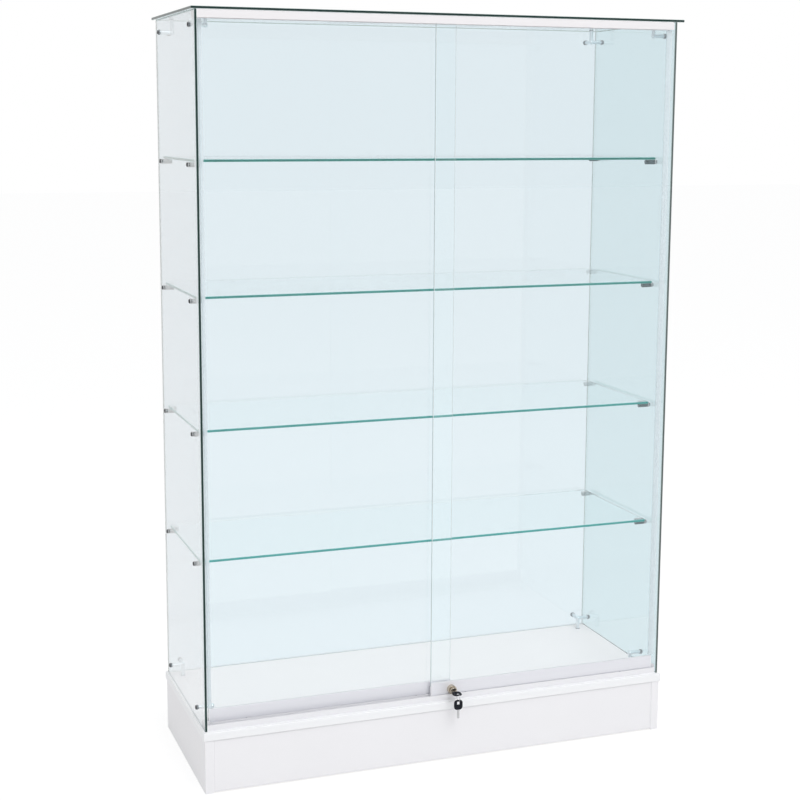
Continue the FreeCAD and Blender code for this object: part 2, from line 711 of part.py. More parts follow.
def door_seal(side, lane):
    """The dust seal on a door's outer edge: a channel over the glass and a fin to the side glass."""
    zs = (RAIL_TOP + SEAL_END_GAP, FASCIA_BOTTOM - SEAL_END_GAP)
    outer = side * DOOR_OUTER_X
    base = outer + side * SEAL_BASE
    half_glass = DOOR_GLASS / 2 + GASKET_FIT
    half = half_glass + SEAL_WALL
    grip = outer - side * SEAL_GRIP
    channel = slab(span(grip, base), (lane - half, lane + half), zs)
    slot = slab(span(grip, outer), (lane - half_glass, lane + half_glass), zs)
    fin_tip = side * (INNER_X - SEAL_GLASS_GAP)
    fin = slab(span(base, fin_tip), (lane - SEAL_FIN / 2, lane + SEAL_FIN / 2), zs)
    return joined(channel.cut(slot), [fin])


def top_guides(side, lane):
    """The shoes on a door's top edge that keep it upright in the upper track."""
    half = CHANNEL / 2 - GUIDE_SIDE_GAP
    slot = DOOR_GLASS / 2 + GASKET_FIT
    shoes = []
    for x in set_in_from_ends(side, GUIDE_INSET):
        xs = (x - GUIDE_LENGTH / 2, x + GUIDE_LENGTH / 2)
        shoe = slab(xs, (lane - half, lane + half), (GUIDE_TOP - GUIDE_HEIGHT, GUIDE_TOP))
        shoes.append(shoe.cut(slab(xs, (lane - slot, lane + slot), (GUIDE_TOP - GUIDE_HEIGHT, DOOR_TOP))))
    return Part.makeCompound(shoes)


def wheel(x, lane):
    """A grooved wheel that runs on a rib of the lower track."""
    width = RAIL_THICKNESS - 2 * RAIL_WALL - 2 * WHEEL_SIDE_GAP
    groove = RIB_WIDTH + 2 * WHEEL_RIB_GAP
    rim_width = (width - groove) / 2
    rim_radius = WHEEL_TREAD_RADIUS + WHEEL_RIM
    tread = rod((x, lane - width / 2, WHEEL_Z), BACK, WHEEL_TREAD_RADIUS, width)
    rims = [
        rod((x, lane - width / 2, WHEEL_Z), BACK, rim_radius, rim_width),
        rod((x, lane + width / 2, WHEEL_Z), FORWARD, rim_radius, rim_width),
    ]
    bore = rod((x, lane - width / 2, WHEEL_Z), BACK, AXLE_RADIUS + AXLE_FIT, width)
    return joined(tread, rims).cut(bore)


def wheel_axles(side, lane):
    """The axles that hold a door's wheels, flush with the faces of the rail."""
    face = lane - RAIL_THICKNESS / 2
    places = set_in_from_ends(side, WHEEL_INSET)
    return Part.makeCompound([rod((x, face, WHEEL_Z), BACK, AXLE_RADIUS, RAIL_THICKNESS) for x in places])


def door(name, side, lane, extra_holes):
    """One sliding door with all that is fixed to it, and its two wheels."""
    nodes = {
        name + "_door_glass": door_glass(side, lane),
        name + "_door_rail": door_rail(side, lane, extra_holes),
        name + "_rail_caps": rail_caps(side, lane),
        name + "_door_gasket": door_gasket(side, lane),
        name + "_door_seal": door_seal(side, lane),
        name + "_top_guides": top_guides(side, lane),
        name + "_wheel_axles": wheel_axles(side, lane),
    }
    for which, x in zip(("inner", "outer"), set_in_from_ends(side, WHEEL_INSET)):
        nodes[name + "_" + which + "_wheel"] = wheel(x, lane)
    return nodes


def doors():
    """The left door in the rear lane and the right door, with the lock's hole, in the front lane."""
    stem_hole = rod((LOCK_X, RAIL_FACE, LOCK_Z), BACK, STEM_RADIUS + CLIP_FIT, RAIL_THICKNESS)
    nodes = door("left", SIDES["left"], REAR_LANE, [])
    nodes.update(door("right", SIDES["right"], FRONT_LANE, [stem_hole]))
    return nodes


def lock_housing():
    """The lock's nose in front of the rail and the grooved stem that passes through it."""
    nose = rod((LOCK_X, NOSE_FACE, LOCK_Z), BACK, NOSE_RADIUS, NOSE_LENGTH)
    rim = min(nose.Edges, key=lambda edge: edge.CenterOfMass.y)
    nose = nose.makeFillet(NOSE_EDGE_RADIUS, [rim])
    stem = rod((LOCK_X, RAIL_FACE, LOCK_Z), BACK, STEM_RADIUS, RAIL_THICKNESS)
    groove_start = (LOCK_X, RAIL_FACE + RAIL_WALL, LOCK_Z)
    groove_width = CLIP_THICKNESS + 2 * CLIP_FIT
    groove = rod(groove_start, BACK, STEM_RADIUS, groove_width)
    groove = groove.cut(rod(groove_start, BACK, STEM_RADIUS - STEM_GROOVE, groove_width))
    well = rod((LOCK_X, NOSE_FACE, LOCK_Z), BACK, PLUNGER_RADIUS + PLUNGER_FIT, NOSE_LENGTH - NOSE_FLOOR)
    bore = rod((LOCK_X, NOSE_FACE, LOCK_Z), BACK, BOLT_RADIUS + PLUNGER_FIT, NOSE_LENGTH + RAIL_THICKNESS)
    return joined(nose, [stem]).cut(groove).cut(well).cut(bore)


def lock_clip():
    """The forked clip in the rail's chamber that holds the lock's stem by its groove."""
    front = RAIL_FACE + RAIL_WALL + CLIP_FIT
    ys = (front, front + CLIP_THICKNESS)
    plate = slab((LOCK_X - CLIP_WIDTH / 2, LOCK_X + CLIP_WIDTH / 2), ys, (LOCK_Z - CLIP_DROP, WEB_BOTTOM))
    grip = STEM_RADIUS - STEM_GROOVE + CLIP_FIT
    mouth = slab((LOCK_X - grip, LOCK_X + grip), ys, (LOCK_Z, WEB_BOTTOM))
    return plate.cut(mouth).cut(rod((LOCK_X, front, LOCK_Z), BACK, grip, CLIP_THICKNESS))


def lock_plunger():
    """The push cylinder, with the bolt behind it and a bore for the key core in front."""
    barrel = rod((LOCK_X, PLUNGER_FACE, LOCK_Z), BACK, PLUNGER_RADIUS, PLUNGER_SHOULDER - PLUNGER_FACE)
    rim = min(barrel.Edges, key=lambda edge: edge.CenterOfMass.y)
    barrel = barrel.makeFillet(PLUNGER_EDGE_RADIUS, [rim])
    bolt_end = RAIL_REAR - BOLT_REST_DEPTH
    bolt = rod((LOCK_X, PLUNGER_SHOULDER, LOCK_Z), BACK, BOLT_RADIUS, bolt_end - PLUNGER_SHOULDER)
    bore = rod((LOCK_X, PLUNGER_FACE, LOCK_Z), BACK, CORE_RADIUS + CORE_FIT, CORE_LENGTH + CORE_FIT)
    return joined(barrel, [bolt]).cut(bore)


def lock_strike():
    """The block on the rear door's rail that the pushed-in bolt locks against."""
    right = LOCK_X - BOLT_RADIUS - STRIKE_BOLT_GAP
    face = REAR_LANE - RAIL_THICKNESS / 2
    ys = (RAIL_REAR + STRIKE_DOOR_GAP, face)
    return slab((right - STRIKE_LENGTH, right), ys, (LOCK_Z - STRIKE_HEIGHT / 2, LOCK_Z + STRIKE_HEIGHT / 2))


def lock_core():
    """The turning core, with a keyway through its face."""
    core = rod((LOCK_X, PLUNGER_FACE, LOCK_Z), BACK, CORE_RADIUS, CORE_LENGTH)
    half_width = KEY_BLADE_WIDTH / 2 + KEY_BLADE_FIT
    half_thickness = KEY_BLADE_THICKNESS / 2 + KEY_BLADE_FIT
    keyway = slab(
        (LOCK_X - half_width, LOCK_X + half_width),
        (PLUNGER_FACE, PLUNGER_FACE + KEY_BLADE_DEPTH + KEY_BLADE_FIT),
        (LOCK_Z - half_thickness, LOCK_Z + half_thickness),
    )
    return core.cut(keyway)


def key_shapes(blade_length):
    """A key in its own frame: bow end at the origin, blade along Y, flat in the XY plane."""
    thick = (-BOW_THICKNESS / 2, BOW_THICKNESS / 2)
    bow = slab((-BOW_WIDTH / 2, BOW_WIDTH / 2), (0, BOW_LENGTH), thick)
    bow = bow.makeFillet(BOW_CORNER_RADIUS, outer_edges(bow, 2))
    hole_radius = BOW_HOLE_WIDTH / 2
    round_end = BOW_WEB + hole_radius
    holes = [
        rod((0, round_end, thick[0]), UP, hole_radius, BOW_THICKNESS),
        slab((-hole_radius, hole_radius), (round_end, BOW_HOLE_END), thick),
    ]
    half_width = KEY_BLADE_WIDTH / 2
    half_thickness = KEY_BLADE_THICKNESS / 2
    blade = slab(
        (-half_width, half_width),
        (BOW_LENGTH - KEY_TANG, BOW_LENGTH + blade_length),
        (-half_thickness, half_thickness),
    )
    return drilled(bow, holes).cut(blade), blade


def placed(shape, rotation, point):
    copy = shape.copy()
    copy.Placement = FreeCAD.Placement(FreeCAD.Vector(*point), rotation)
    return copy


def keys():
    """The key in the lock, the ring through its bow and the spare key that hangs on the ring."""
    level = FreeCAD.Rotation()
    bow, blade = key_shapes(KEY_NECK + KEY_BLADE_DEPTH)
    bow_end = (LOCK_X, BOW_START - BOW_LENGTH, LOCK_Z)
    hanging = FreeCAD.Rotation(FreeCAD.Vector(*RIGHT), -90)
    spare_bow, spare_blade = key_shapes(KEY_BLADE_LENGTH)
    spare_end = (LOCK_X, RING_Y, SPARE_WEB_Z + BOW_WEB)
    ring = Part.makeTorus(
        RING_RADIUS, RING_WIRE_RADIUS, FreeCAD.Vector(LOCK_X, RING_Y, RING_Z), FreeCAD.Vector(*RIGHT)
    )
    return {
        "key_bow": placed(bow, level, bow_end),
        "key_blade": placed(blade, level, bow_end),
        "key_ring": ring,
        "spare_key_bow": placed(spare_bow, hanging, spare_end),
        "spare_key_blade": placed(spare_blade, hanging, spare_end),
    }


def lock():
    nodes = {
        "lock_housing": lock_housing(),
        "lock_clip": lock_clip(),
        "lock_plunger": lock_plunger(),
        "lock_core": lock_core(),
        "lock_strike": lock_strike(),
    }
    nodes.update(keys())
    return nodes


os.makedirs("parts", exist_ok=True)
for make in (plinth, glass_box, connectors, shelves, shelf_studs, tracks, doors, lock):
    for node, shape in make().items():
        shape.exportStep("parts/" + node + ".step")
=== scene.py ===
import bmesh
import bpy
import math
from mathutils import Matrix, Vector


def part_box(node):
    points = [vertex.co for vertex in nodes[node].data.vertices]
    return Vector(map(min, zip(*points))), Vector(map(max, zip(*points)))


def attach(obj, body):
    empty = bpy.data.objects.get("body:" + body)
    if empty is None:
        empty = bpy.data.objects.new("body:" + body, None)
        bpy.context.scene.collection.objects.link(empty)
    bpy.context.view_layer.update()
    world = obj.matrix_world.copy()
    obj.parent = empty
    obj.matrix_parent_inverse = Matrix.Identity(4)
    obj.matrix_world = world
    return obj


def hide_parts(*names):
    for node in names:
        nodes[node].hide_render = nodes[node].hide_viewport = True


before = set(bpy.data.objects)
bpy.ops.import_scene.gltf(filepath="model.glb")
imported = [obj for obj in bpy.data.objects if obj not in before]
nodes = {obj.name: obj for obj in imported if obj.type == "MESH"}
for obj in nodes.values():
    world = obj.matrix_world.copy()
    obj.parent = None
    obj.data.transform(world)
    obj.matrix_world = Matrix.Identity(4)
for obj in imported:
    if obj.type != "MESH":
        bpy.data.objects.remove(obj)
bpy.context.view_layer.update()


# Plinth boards
# The deck, the upright boards under it and the kick board are chipboard faced with white laminate.
# A thin band in the same white is glued round their edges, and the sawn feet show bare chips.
BOARD_WHITE = (0.890, 0.886, 0.905, 1)
BOARD_SHADE = (0.868, 0.864, 0.885, 1)
# The deck is painted whiter and bluer than the other boards: painted light inside the case.
DECK_WHITE_PAINTED_LIGHT = (0.915, 0.925, 0.940, 1)
DECK_MOTTLE_PAINTED_LIGHT = (0.893, 0.903, 0.918, 1)
CHIP_PALE = (0.66, 0.52, 0.36, 1)
CHIP_DARK = (0.36, 0.25, 0.15, 1)
SEAM_GREY = (0.66, 0.655, 0.68, 1)
BAND_WIDTH = 0.0024
SEAM_WIDTH = 0.0002
FOOT_HEIGHT = 0.0048
FLAT_TURN = 0.95
MOTTLE_CELLS = 9
CHIP_CELLS = 420
PEBBLE_CELLS = 700
PEBBLE_DEPTH = 0.000005
LAMINATE_ROUGH = 0.36
MOTTLE_ROUGH = 0.08
SAWN_ROUGH = 0.4
UPRIGHT_BOARDS = (
    "plinth_side_left",
    "plinth_side_right",
    "kick_board",
    "plinth_back",
    "plinth_divider",
)


class Value:
    """A socket of a finish that takes arithmetic: each operation adds one Math node."""

    def __init__(self, finish, socket):
        self.finish = finish
        self.socket = socket

    def maths(self, operation, first, second=0.0):
        return self.finish.node("Math", {"operation": operation}, {0: first, 1: second})

    def __add__(self, other):
        return self.maths("ADD", self, other)

    def __radd__(self, other):
        return self.maths("ADD", other, self)

    def __sub__(self, other):
        return self.maths("SUBTRACT", self, other)

    def __rsub__(self, other):
        return self.maths("SUBTRACT", other, self)

    def __mul__(self, other):
        return self.maths("MULTIPLY", self, other)

    def __rmul__(self, other):
        return self.maths("MULTIPLY", other, self)

    def __truediv__(self, other):
        return self.maths("DIVIDE", self, other)

    def __pow__(self, other):
        return self.maths("POWER", self, other)

    def __gt__(self, other):
        return self.maths("GREATER_THAN", self, other)

    def __lt__(self, other):
        return self.maths("LESS_THAN", self, other)

    def __abs__(self):
        return self.maths("ABSOLUTE", self)

    def larger(self, other):
        return self.maths("MAXIMUM", self, other)

    def sine(self):
        return self.maths("SINE", self)

    def root(self):
        return self.maths("SQRT", self)


class Finish:
    """The nodes of one material, or of the room round the case, added one at a time."""

    def __init__(self, owner):
        owner.use_nodes = True
        self.owner = owner
        self.tree = owner.node_tree
        self.tree.nodes.clear()

    def node(self, kind, settings, sockets, outputs=0):
        """Adds a node with its settings, then its sockets, and gives one output or several."""
        added = self.tree.nodes.new("ShaderNode" + kind)
        for name, setting in settings.items():
            setattr(added, name, setting)
        for name, given in sockets.items():
            if isinstance(given, Value):
                self.tree.links.new(given.socket, added.inputs[name])
            else:
                added.inputs[name].default_value = given
        if isinstance(outputs, tuple):
            return [Value(self, added.outputs[name]) for name in outputs]
        return Value(self, added.outputs[outputs])

    def place(self):
        return self.node("TexCoord", {}, {}, "Object")

    def split(self, vector):
        return self.node("SeparateXYZ", {}, {0: vector}, ("X", "Y", "Z"))

    def facing(self):
        """The surface's direction on the three axes of the object."""
        return self.split(self.node("TexCoord", {}, {}, "Normal"))

    def grain(self, scale, stretch=(1, 1, 1), detail=2.0):
        """Noise from 0 to 1 with so many cells a metre, drawn out along the axes by stretch."""
        drawn = self.node("Mapping", {}, {"Vector": self.place(), "Scale": stretch})
        return self.node("TexNoise", {}, {"Vector": drawn, "Scale": scale, "Detail": detail}, "Fac")

    def rays(self, *kinds):
        """1 for rays of these kinds, such as Camera or Shadow, and 0 for the others."""
        found = self.node("LightPath", {}, {}, tuple("Is %s Ray" % kind for kind in kinds))
        total = found[0]
        for other in found[1:]:
            total = total.larger(other)
        return total

    def mix(self, share, first, second):
        """A colour that goes from first to second as share goes from 0 to 1."""
        settings = {"data_type": "RGBA", "clamp_factor": True}
        return self.node("Mix", settings, {0: share, 6: first, 7: second}, 2)

    def either(self, share, first, second):
        """A shader that goes from first to second as share goes from 0 to 1."""
        return self.node("MixShader", {}, {0: share, 1: first, 2: second})

    def bump(self, height, depth):
        """A normal for a surface that rises by depth metres where height is 1."""
        rise = {"Height": height, "Strength": 1.0, "Distance": depth}
        return self.node("Bump", {}, rise, "Normal")

    def show(self, shader):
        end = "OutputWorld" if isinstance(self.owner, bpy.types.World) else "OutputMaterial"
        self.node(end, {}, {"Surface": shader}, ())
        return self

    def coat(self, **sockets):
        """Ends the finish in one Principled shader, with socket names written with underscores."""
        named = {name.replace("_", " "): given for name, given in sockets.items()}
        return self.show(self.node("BsdfPrincipled", {}, named))


def new_finish(name):
    return Finish(bpy.data.materials.new(name))


def dress(finish, *names):
    for name in names:
        for slot in nodes[name].material_slots:
            slot.material = finish.owner


def thin_axis(name):
    """A flat piece's middle, its half sizes and the axis across its thickness."""
    low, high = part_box(name)
    half = (high - low) / 2
    return (low + high) / 2, half, min(range(3), key=lambda axis: half[axis])


def laminate(name, shade, white):
    """White laminate, faintly mottled and pebbled, with the band's seam and bare chips below."""
    finish = new_finish("laminate_" + name)
    middle, half, thin = thin_axis(name)
    place = finish.split(finish.place())
    turn = finish.facing()
    broad = [axis for axis in range(3) if axis != thin]
    seams = []
    for axis in broad:
        to_seam = half[axis] - BAND_WIDTH - abs(place[axis] - middle[axis])
        seams.append(abs(to_seam) < SEAM_WIDTH)
    seam = seams[0].larger(seams[1]) * (abs(turn[thin]) > FLAT_TURN)
    foot = (turn[2] < -FLAT_TURN) * (place[2] < FOOT_HEIGHT)
    mottle = finish.grain(MOTTLE_CELLS, detail=4.0)
    colour = finish.mix(mottle, shade, white)
    colour = finish.mix(seam, colour, SEAM_GREY)
    chips = finish.mix(finish.grain(CHIP_CELLS, detail=3.0), CHIP_DARK, CHIP_PALE)
    colour = finish.mix(foot, colour, chips)
    pebble = finish.grain(PEBBLE_CELLS, detail=1.0)
    rough = LAMINATE_ROUGH + MOTTLE_ROUGH * mottle + SAWN_ROUGH * foot
    relief = finish.bump(pebble, PEBBLE_DEPTH)
    return finish.coat(Base_Color=colour, Roughness=rough, Normal=relief)


# The deck's whiter laminate is painted light.
dress(laminate("deck", DECK_MOTTLE_PAINTED_LIGHT, DECK_WHITE_PAINTED_LIGHT), "deck")
for name in UPRIGHT_BOARDS:
    dress(laminate(name, BOARD_SHADE, BOARD_WHITE), name)


# Corner blocks and dowels
# Softwood blocks brace the plinth's inner corners, and beech dowels key the deck to the boards.
# Both are bare wood, sawn along the grain, and out of sight once the case stands.
WOOD_PALE = (0.70, 0.53, 0.34, 1)
WOOD_DARK = (0.47, 0.31, 0.17, 1)
WOOD_RINGS = 60
WOOD_FIBRES = 900
RING_SHARE = 0.7
FIBRE_SHARE = 0.3
FIBRE_DEPTH = 0.0001
WOOD_ROUGH = 0.6
FIBRE_ROUGH = 0.2


def bare_wood():
    finish = new_finish("bare_wood")
    rings = finish.grain(WOOD_RINGS, stretch=(1, 1, 0.08), detail=3.0)
    fibre = finish.grain(WOOD_FIBRES, stretch=(1, 1, 0.04))
    colour = finish.mix(RING_SHARE * rings + FIBRE_SHARE * fibre, WOOD_PALE, WOOD_DARK)
    rough = WOOD_ROUGH + FIBRE_ROUGH * fibre
    relief = finish.bump(fibre, FIBRE_DEPTH)
    return finish.coat(Base_Color=colour, Roughness=rough, Normal=relief)


dress(bare_wood(), "corner_blocks", "deck_dowels")


# Plated screws, bolts and axles
# Wood screws, the deck's bolts, the track's screws and the wheel axles are zinc-plated steel.
# The plating has a pale, slightly clouded shine.
ZINC = (0.62, 0.63, 0.65, 1)
ZINC_CLOUD = (0.50, 0.51, 0.55, 1)
ZINC_CELLS = 240
ZINC_ROUGH = 0.24
ZINC_CLOUD_ROUGH = 0.2


def zinc():
    finish = new_finish("zinc_plate")
    cloud = finish.grain(ZINC_CELLS, detail=3.0)
    colour = finish.mix(cloud, ZINC, ZINC_CLOUD)
    rough = ZINC_ROUGH + ZINC_CLOUD_ROUGH * cloud
    return finish.coat(Base_Color=colour, Metallic=1.0, Roughness=rough)


plated = zinc()
dress(plated, "block_screws", "deck_bolts", "lower_track_screws")
dress(plated, "left_wheel_axles", "right_wheel_axles")


# Glass panels
# Two side panels stand on the deck, the back panel between them, and the top lies on all three.
# They are clear float glass with polished edges, which look dark green, and a narrow ground arris.
BACK_TINT = (0.879, 0.921, 0.943, 1)
LEFT_TINT = (0.905, 0.914, 0.921, 1)
# The right side panel is the same glass, tinted darker and greener as painted shade.
RIGHT_TINT_PAINTED_SHADE = (0.812, 0.882, 0.902, 1)
TOP_TINT = (0.895, 0.925, 0.937, 1)
PANEL_EDGE = (0.006, 0.016, 0.015, 1)
PANEL_GLOW = (0.020, 0.052, 0.046, 1)
# The right side panel's edges are painted lighter: painted light.
LIT_EDGE = (0.080, 0.096, 0.096, 1)
LIT_GLOW = (0.130, 0.155, 0.152, 1)
ARRIS_PALE = (0.36, 0.47, 0.45, 1)
GLASS_INDEX = 1.52
ARRIS_TURN = 0.3
INSIDE_FADE = 0.9
# The left panel's inside edges fade less, so its back edge shows as a dark band: painted shade.
LEFT_FADE_PAINTED_SHADE = 0.3
EDGE_STREAKS = 30
EDGE_FALL = 0.6
EDGE_ROUGH = 0.10
ARRIS_ROUGH = 0.4
PANEL_POLISH = 0.2
RIPPLE_CELLS = 3
RIPPLE_DEPTH = 0.0002
COLOURLESS = (1, 1, 1, 1)
# A line of sight may cross this many faces of glass.
PANEL_FACES = 32
bpy.context.scene.cycles.max_bounces = PANEL_FACES
bpy.context.scene.cycles.transmission_bounces = PANEL_FACES
bpy.context.scene.cycles.transparent_max_bounces = PANEL_FACES


def glaze(name, tint, edge, glow, polish, fade=INSIDE_FADE, ground=ARRIS_PALE):
    """Dresses one panel: clear faces that mirror more at a slant, and edges of solid colour.

    An edge that is seen from inside the glass is fainter, and lamplight passes the panel unshaded.
    """
    finish = new_finish("glass_" + name)
    middle, half, thin = thin_axis(name)
    turn = abs(finish.facing()[thin])
    inside = finish.node("NewGeometry", {}, {}, "Backfacing")
    edge_on = (turn < FLAT_TURN) * (1 - fade * inside)
    arris = (turn > ARRIS_TURN) * (turn < FLAT_TURN)
    depth = abs(finish.split(finish.place())[thin] - middle[thin]) / half[thin]
    # The edge turns towards glow in streaks and near the faces: painted light inside the glass.
    streak = finish.grain(EDGE_STREAKS, detail=3.0)
    colour = finish.mix(streak * (1 - EDGE_FALL * depth), edge, glow)
    colour = finish.mix(arris, colour, ground)
    rough = EDGE_ROUGH + ARRIS_ROUGH * arris
    skin = {"Base Color": colour, "Roughness": rough, "Specular IOR Level": polish}
    rim = finish.node("BsdfPrincipled", {}, skin)
    mirror = finish.node("Fresnel", {}, {"IOR": GLASS_INDEX})
    bend = {"Color": tint, "Roughness": 0.0, "IOR": GLASS_INDEX}
    clear = finish.node("BsdfRefraction", {}, bend)
    ripple = finish.bump(finish.grain(RIPPLE_CELLS), RIPPLE_DEPTH)
    polished = {"Color": COLOURLESS, "Roughness": 0.0, "Normal": ripple}
    gloss = finish.node("BsdfGlossy", {}, polished)
    panel = finish.either(edge_on, finish.either(mirror, clear, gloss), rim)
    open_air = finish.node("BsdfTransparent", {}, {"Color": COLOURLESS})
    unshaded = finish.rays("Shadow", "Diffuse")
    dress(finish.show(finish.either(unshaded, panel, open_air)), name)


# The left panel's darker back edge is painted shade.
glaze("side_glass_left", LEFT_TINT, PANEL_EDGE, PANEL_GLOW, PANEL_POLISH, fade=LEFT_FADE_PAINTED_SHADE)
# The right panel's darker tint is painted shade, and its lighter edges are painted light.
glaze("side_glass_right", RIGHT_TINT_PAINTED_SHADE, LIT_EDGE, LIT_GLOW, PANEL_POLISH)
glaze("back_glass", BACK_TINT, PANEL_EDGE, PANEL_GLOW, PANEL_POLISH)
glaze("top_glass", TOP_TINT, PANEL_EDGE, PANEL_GLOW, PANEL_POLISH)


# Corner connectors
# Turned steel connectors join the panels at each corner, with one arm to each panel.
# They are satin chrome, so they mirror the room and hardly show.
# The pale blue in their colour is a painted reflection of the glass round them.
CHROME_PAINTED_REFLECTION = (0.80, 0.86, 0.89, 1)
CHROME_DULL_PAINTED_REFLECTION = (0.74, 0.80, 0.83, 1)
HAZE_CELLS = 140
CHROME_MARKS = 2400
CHROME_DEPTH = 0.000004
CHROME_ROUGH = 0.32
HAZE_ROUGH = 0.10


def satin_chrome():
    finish = new_finish("satin_chrome")
    haze = finish.grain(HAZE_CELLS, detail=3.0)
    lathe = finish.grain(CHROME_MARKS, detail=1.0)
    colour = finish.mix(haze, CHROME_PAINTED_REFLECTION, CHROME_DULL_PAINTED_REFLECTION)
    rough = CHROME_ROUGH + HAZE_ROUGH * haze
    relief = finish.bump(lathe, CHROME_DEPTH)
    return finish.coat(Base_Color=colour, Metallic=1.0, Roughness=rough, Normal=relief)


dress(satin_chrome(), "top_connectors", "base_connectors")


# Clamp screws
# Button-head screws pass through the glass into the connectors and studs.
# They are dark-plated steel with a hexagon socket.
SCREW_DARK = (0.050, 0.052, 0.056, 1)
SCREW_WORN = (0.115, 0.116, 0.122, 1)
WEAR_CELLS = 500
SCREW_ROUGH = 0.30
WEAR_ROUGH = 0.22


def dark_plate():
    finish = new_finish("dark_plate")
    wear = finish.grain(WEAR_CELLS, detail=3.0)
    colour = finish.mix(wear, SCREW_DARK, SCREW_WORN)
    rough = SCREW_ROUGH + WEAR_ROUGH * wear
    return finish.coat(Base_Color=colour, Metallic=1.0, Roughness=rough)


dress(dark_plate(), "connector_screws", "stud_screws")


# Washers and shelf pads
# Washers keep the metal off the glass: grey rubber at the connectors, milky plastic at the studs.
# Pads of the same milky plastic on the studs keep the shelves from sliding.
RUBBER_DARK = (0.31, 0.34, 0.36, 1)
RUBBER_DUSTY = (0.41, 0.44, 0.46, 1)
SOFT_CLEAR = (0.80, 0.83, 0.84, 1)
SOFT_MILKY = (0.90, 0.92, 0.93, 1)
DUST_CELLS = 300
DUST_DEPTH = 0.00005
RUBBER_ROUGH = 0.6
DUST_ROUGH = 0.25
MILK_CELLS = 160
MILK_ROUGH = 0.15
MILK_COVER = 0.1
SOFT_ROUGH = 0.3
SOFT_COVER = 0.5


def rubber(name, dark, bloom):
    finish = new_finish(name)
    dust = finish.grain(DUST_CELLS, detail=3.0)
    colour = finish.mix(dust, dark, bloom)
    rough = RUBBER_ROUGH + DUST_ROUGH * dust
    relief = finish.bump(dust, DUST_DEPTH)
    return finish.coat(Base_Color=colour, Roughness=rough, Normal=relief)


def milky_plastic(name, pale, milky, cover):
    """See-through plastic, a little cloudier in places, that covers what is behind it in part."""
    finish = new_finish(name)
    cloud = finish.grain(MILK_CELLS, detail=2.0)
    colour = finish.mix(cloud, pale, milky)
    rough = SOFT_ROUGH + MILK_ROUGH * cloud
    return finish.coat(Base_Color=colour, Roughness=rough, Alpha=cover + MILK_COVER * cloud)


dress(rubber("washer_rubber", RUBBER_DARK, RUBBER_DUSTY), "connector_washers")
soft_plastic = milky_plastic("soft_washer", SOFT_CLEAR, SOFT_MILKY, SOFT_COVER)
dress(soft_plastic, "stud_washers", "shelf_pads")


# Shelf studs
# Turned steel studs, four to a shelf, are screwed to the side panels through the glass.
# They are satin nickel, with the fine rings that the lathe leaves. Their dark blue-green colour is
# a painted reflection of dark surroundings seen through the green glass.
NICKEL_PAINTED_REFLECTION = (0.160, 0.196, 0.208, 1)
NICKEL_DARK_PAINTED_REFLECTION = (0.095, 0.119, 0.128, 1)
STUD_MARKS = 1800
STUD_CLOUDS = 80
MARK_SHARE = 0.5
CLOUD_SHARE = 0.5
STUD_DEPTH = 0.00002
STUD_ROUGH = 0.26
MARK_ROUGH = 0.16


def satin_nickel():
    finish = new_finish("satin_nickel")
    lathe = finish.grain(STUD_MARKS, stretch=(1, 0.15, 0.15), detail=1.0)
    cloud = finish.grain(STUD_CLOUDS, detail=2.0)
    colour = finish.mix(MARK_SHARE * lathe + CLOUD_SHARE * cloud, NICKEL_DARK_PAINTED_REFLECTION, NICKEL_PAINTED_REFLECTION)
    rough = STUD_ROUGH + MARK_ROUGH * lathe
    relief = finish.bump(lathe, STUD_DEPTH)
    return finish.coat(Base_Color=colour, Metallic=1.0, Roughness=rough, Normal=relief)


dress(satin_nickel(), "shelf_studs")


# Shelves
# Four loose shelves of the same float glass lie on the studs, numbered from the bottom.
# Their polished edges are a brighter green than the panels', and lower shelves' edges are
# painted lighter as painted light, brightest at the bottom.
SHELF_COUNT = 4
SHELF_TINT = (0.975, 0.998, 0.998, 1)
LOWEST_EDGE_PAINTED_LIGHT = Vector((0.010, 0.270, 0.262, 1))
LOWEST_GLOW_PAINTED_LIGHT = Vector((0.030, 0.380, 0.370, 1))
TOPMOST_EDGE = Vector((0.010, 0.150, 0.128, 1))
TOPMOST_GLOW = Vector((0.030, 0.225, 0.196, 1))
SHELF_ARRIS = (0.20, 0.50, 0.47, 1)
SHELF_POLISH = 0.15

# The edges grow lighter towards the bottom shelf: painted light.
for number in range(SHELF_COUNT):
    share = number / (SHELF_COUNT - 1)
    edge = LOWEST_EDGE_PAINTED_LIGHT.lerp(TOPMOST_EDGE, share)
    glow = LOWEST_GLOW_PAINTED_LIGHT.lerp(TOPMOST_GLOW, share)
    glaze("shelf_%d" % (number + 1), SHELF_TINT, edge, glow, SHELF_POLISH, ground=SHELF_ARRIS)


# Door tracks
# The upper track is an aluminium channel with white powder coat, bonded under the top glass.
# The lower track is satin anodised, screwed to the deck, with rubber bumpers at its ends.
TRACK_WHITE = (0.82, 0.80, 0.815, 1)
TRACK_SHADE = (0.80, 0.78, 0.795, 1)
ANODISED = (0.86, 0.86, 0.88, 1)
ANODISED_DARK = (0.81, 0.81, 0.835, 1)
BUMPER_PALE = (0.62, 0.62, 0.65, 1)
BUMPER_BLOOM = (0.72, 0.72, 0.75, 1)
PEEL_CELLS = 600
PEEL_DEPTH = 0.00003
PEEL_ROUGH = 0.1
COAT_CELLS = 12
COAT_ROUGH = 0.38
DIE_LINES = 900
DIE_DEPTH = 0.00001
DIE_ROUGH = 0.14
SATIN_ROUGH = 0.36
TRACK_METAL = 0.15


def powder_coat():
    finish = new_finish("white_powder_coat")
    peel = finish.grain(PEEL_CELLS, detail=2.0)
    colour = finish.mix(finish.grain(COAT_CELLS), TRACK_SHADE, TRACK_WHITE)
    rough = COAT_ROUGH + PEEL_ROUGH * peel
    relief = finish.bump(peel, PEEL_DEPTH)
    return finish.coat(Base_Color=colour, Roughness=rough, Normal=relief)


